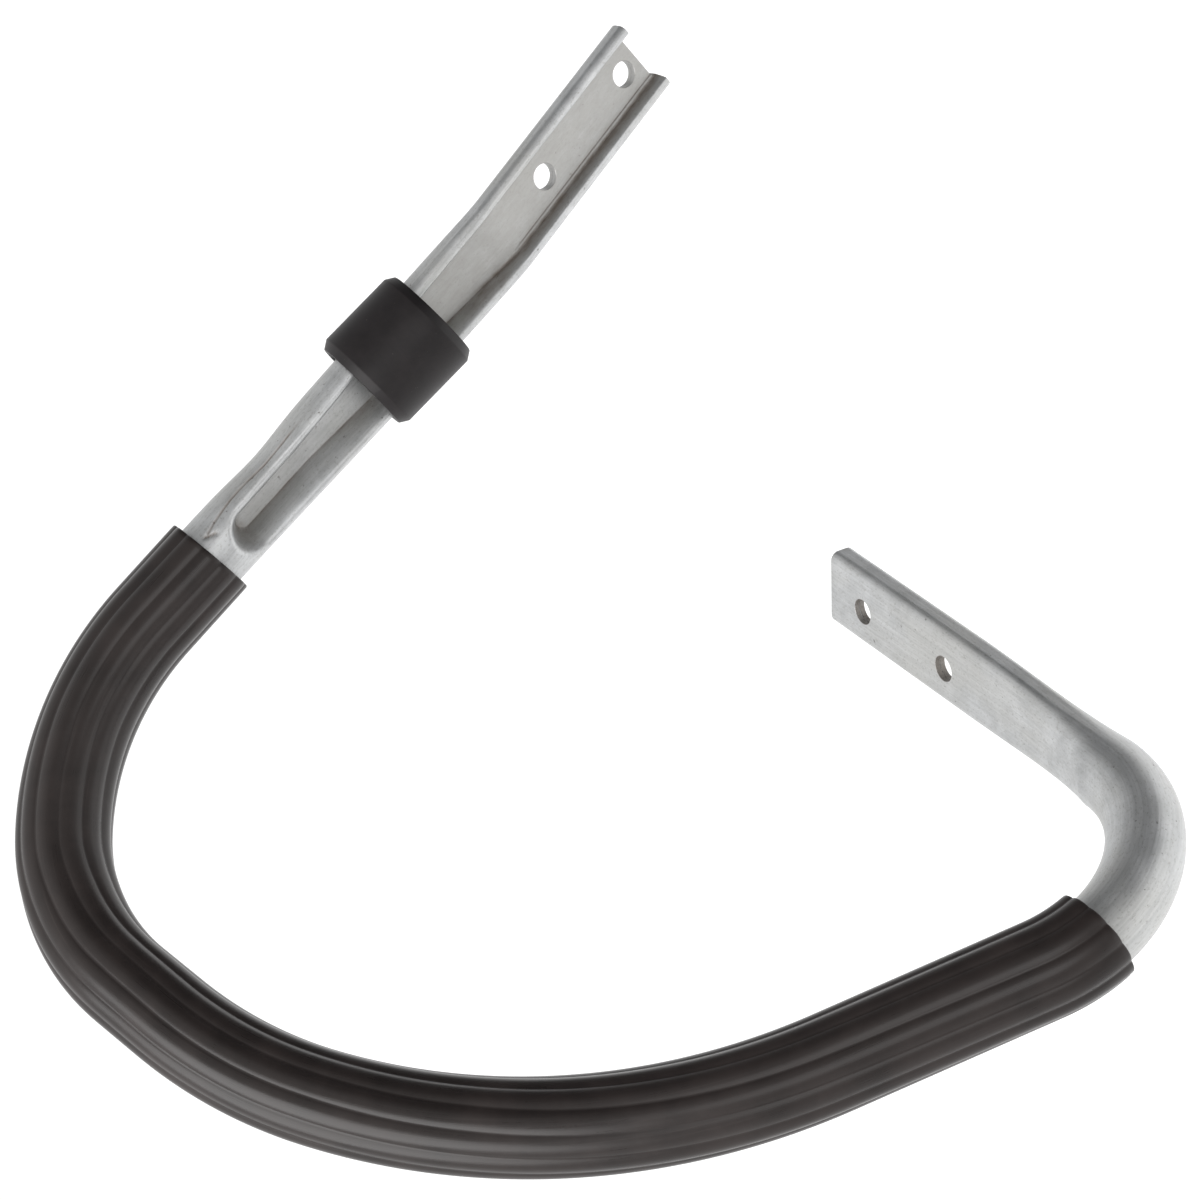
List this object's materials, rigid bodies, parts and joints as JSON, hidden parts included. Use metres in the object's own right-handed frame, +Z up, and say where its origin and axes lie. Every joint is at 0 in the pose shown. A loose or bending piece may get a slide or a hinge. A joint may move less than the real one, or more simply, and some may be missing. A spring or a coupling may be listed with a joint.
{
  "type": "wrap-around handlebar",
  "caption": "Bent tube handlebar for a portable power tool, with flattened drilled ends, a ribbed grip sleeve and a sliding collar.",
  "frame": {"origin": "on the flat back of the upper pressed end, midway between its two holes", "axes": "+X out of the upper end's flat back, +Z up in the handle's working position, with the upper leg rising in the YZ plane at 32 degrees from vertical"},
  "size_m": [0.2973, 0.3013, 0.3006],
  "materials": {
    "tube": "drawn mill finish, dull satin",
    "sleeve": "semi-gloss extruded",
    "collar": "matte moulded"
  },
  "bodies": {
    "handle": {"handle_tube": "tube", "grip_sleeve": "sleeve"},
    "collar": {"collar": "collar"}
  },
  "joints": [
    {"name": "collar_slide", "type": "slide", "parent": "handle", "child": "collar", "axis": [0.1564, 0.5234, 0.8376], "range_m": [-0.026, 0.072]}
  ]
}
